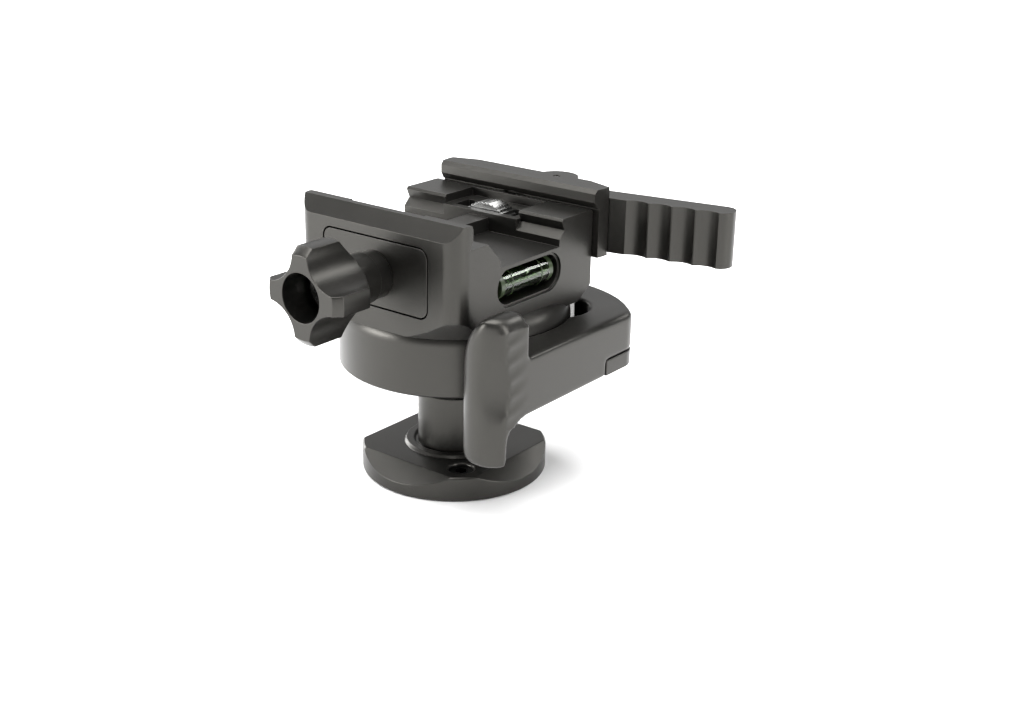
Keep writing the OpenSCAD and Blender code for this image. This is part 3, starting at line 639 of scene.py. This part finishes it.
@dataclass
class Clamp:
    """Clamp body, its level, the front jaw with its star knob and the thumb wheel.

    The edges and the rings' wire are millimetres.
    """

    workshop: Workshop
    body_edge: float = 0.35
    jaw_edge: float = 0.35
    knob_edge: float = 0.3
    collar_edge: float = 0.25
    screw_edge: float = 0.2
    knurl_edge: float = 0.08
    ring_share: float = 0.33
    ring_steps: int = 48
    wire_radius: float = 0.11
    wire_steps: int = 10

    def build(self) -> None:
        """Dresses the clamp's pieces."""
        self.workshop.machined("clamp_body", self.body_edge)
        self.workshop.machined("front_jaw", self.jaw_edge)
        self.workshop.machined("knob", self.knob_edge, segments=3)
        self.workshop.machined("knob_collar", self.collar_edge)
        self.workshop.machined("knob_screw", self.screw_edge)
        self.workshop.machined("thumb_wheel", self.knurl_edge, segments=1)
        self.workshop.dress("clamp_lock_screw", "jaw_springs", "vial_tube", "vial_fluid",
                            "vial_caps")
        self.level_rings()

    def level_rings(self) -> None:
        """Two dark rings on the vial, which the bubble is read against."""
        low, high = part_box("vial_tube")
        centre = (low + high) / 2
        radius = (high.z - low.z) / 2
        for name, side in (("level_ring_front", -1), ("level_ring_back", 1)):
            place = centre + Vector((0.0, side * self.ring_share * (high.y - low.y), 0.0))
            self.workshop.add(name, self.ring(radius, place), "vial_tube", stands_for=False,
                              slot="vial_cap")

    def ring(self, radius: float, place: Vector) -> bmesh.types.BMesh:
        """A closed ring of round wire about an axis along y.

        Args:
            radius: Radius of the wire's middle in metres.
            place: Centre of the ring in metres.

        Returns:
            The ring.
        """
        shape = bmesh.new()
        bmesh.ops.create_circle(shape, cap_ends=False, segments=self.wire_steps,
                                radius=self.wire_radius * MM)
        bmesh.ops.translate(shape, verts=shape.verts, vec=(radius, 0.0, 0.0))
        bmesh.ops.spin(shape, geom=shape.verts[:] + shape.edges[:], cent=(0.0, 0.0, 0.0),
                       axis=(0.0, 1.0, 0.0), dvec=(0.0, 0.0, 0.0), angle=math.tau,
                       steps=self.ring_steps, use_merge=True, use_duplicate=False)
        bmesh.ops.remove_doubles(shape, verts=shape.verts, dist=MERGE)
        bmesh.ops.translate(shape, verts=shape.verts, vec=place)
        bmesh.ops.recalc_face_normals(shape, faces=shape.faces)
        return shape


@dataclass
class QuickRelease:
    """Rear jaw, its draw rod and the cam lever."""

    workshop: Workshop
    jaw_edge: float = 0.45
    lever_edge: float = 0.45

    def build(self) -> None:
        """Dresses the quick release's pieces."""
        self.workshop.machined("rear_jaw", self.jaw_edge)
        self.workshop.machined("qr_lever", self.lever_edge, segments=3)
        self.workshop.dress("draw_rod", "draw_plate", "rod_nut", "jaw_guide_pins", "qr_pivot_pin")


@dataclass(frozen=True)
class SoftBox:
    """A rectangular studio light: metres for its place, size and aim, watts for its power."""

    name: str
    place: tuple
    size: tuple
    power: float
    aim: tuple = (0.0, 0.0, 0.035)

    def build(self) -> None:
        """Hangs the light."""
        light = bpy.data.lights.new(self.name, "AREA")
        light.shape = "RECTANGLE"
        light.size, light.size_y = self.size
        light.energy = self.power
        lamp = placed(self.name, light)
        ray = Vector(self.aim) - Vector(self.place)
        lamp.location = self.place
        lamp.rotation_euler = ray.to_track_quat("-Z", "Y").to_euler()


LIGHTS = (
    SoftBox("front_left", (-0.62, -0.78, 0.16), (0.55, 0.22), 9.0),
    SoftBox("side_left", (-0.95, 0.10, 0.30), (0.45, 0.9), 13.0),
    SoftBox("side_right", (0.95, 0.05, 0.26), (0.30, 0.7), 6.0),
    SoftBox("back_left", (-0.55, 0.95, 0.60), (0.9, 0.6), 1.2),
    SoftBox("back_right", (0.42, 0.90, 0.68), (0.5, 0.4), 5.0),
    SoftBox("top", (0.0, -0.15, 1.1), (1.4, 1.2), 36.0),
)


@dataclass
class Studio:
    """Pale floor, soft lights and the camera at the photograph's view.

    The angles are degrees, the lens and its sensor millimetres and the rest metres.
    """

    azimuth: float = 37.22
    elevation: float = 20.55
    roll: float = 1.05
    eye: tuple = (0.17323, -0.20877, 0.12611)
    lens: float = 50.0
    sensor: float = 36.0
    clip_start: float = 0.01
    floor_half: float = 4.0
    ambient: float = 0.28

    def build(self) -> None:
        """Sets up the camera, the floor and the lights."""
        self.camera()
        self.floor()
        self.world()
        for light in LIGHTS:
            light.build()

    def camera(self) -> None:
        """Places the camera."""
        az, el, roll = (math.radians(a) for a in (self.azimuth, self.elevation, self.roll))
        right = Vector((math.cos(az), math.sin(az), 0.0))
        back = Vector((math.sin(az) * math.cos(el), -math.cos(az) * math.cos(el), math.sin(el)))
        up = back.cross(right)
        turned_right = right * math.cos(roll) + up * math.sin(roll)
        turned_up = up * math.cos(roll) - right * math.sin(roll)
        data = bpy.data.cameras.new("photo_view")
        data.lens = self.lens
        data.sensor_width = self.sensor
        data.clip_start = self.clip_start
        camera = placed("photo_view", data)
        turn = Matrix((turned_right, turned_up, back)).transposed().to_4x4()
        camera.matrix_world = Matrix.Translation(self.eye) @ turn
        bpy.context.scene.camera = camera

    def floor(self) -> None:
        """Lays the pale floor."""
        shape = bmesh.new()
        bmesh.ops.create_grid(shape, x_segments=2, y_segments=2, size=self.floor_half)
        mesh = bpy.data.meshes.new("floor")
        shape.to_mesh(mesh)
        shape.free()
        mesh.materials.append(Paper("floor_paper").material())
        floor = placed("floor", mesh)

    def world(self) -> None:
        """Sets the even light of the room."""
        world = bpy.data.worlds.new("room")
        world.use_nodes = True
        background = world.node_tree.nodes["Background"]
        background.inputs["Color"].default_value = (1.0, 1.0, 1.0, 1.0)
        background.inputs["Strength"].default_value = self.ambient
        bpy.context.scene.world = world
        bpy.context.scene.view_settings.view_transform = "Standard"


def main() -> None:
    """Builds the studio and the object, sub-assembly by sub-assembly."""
    logging.basicConfig(level=logging.INFO, format="%(name)s: %(message)s")
    Studio().build()
    workshop = Workshop()
    for assembly in (Base(workshop), Housing(workshop), LockLever(workshop), Clamp(workshop),
                     QuickRelease(workshop)):
        LOG.info("building %s", type(assembly).__name__)
        assembly.build()


if __name__ == "__main__":
    main()
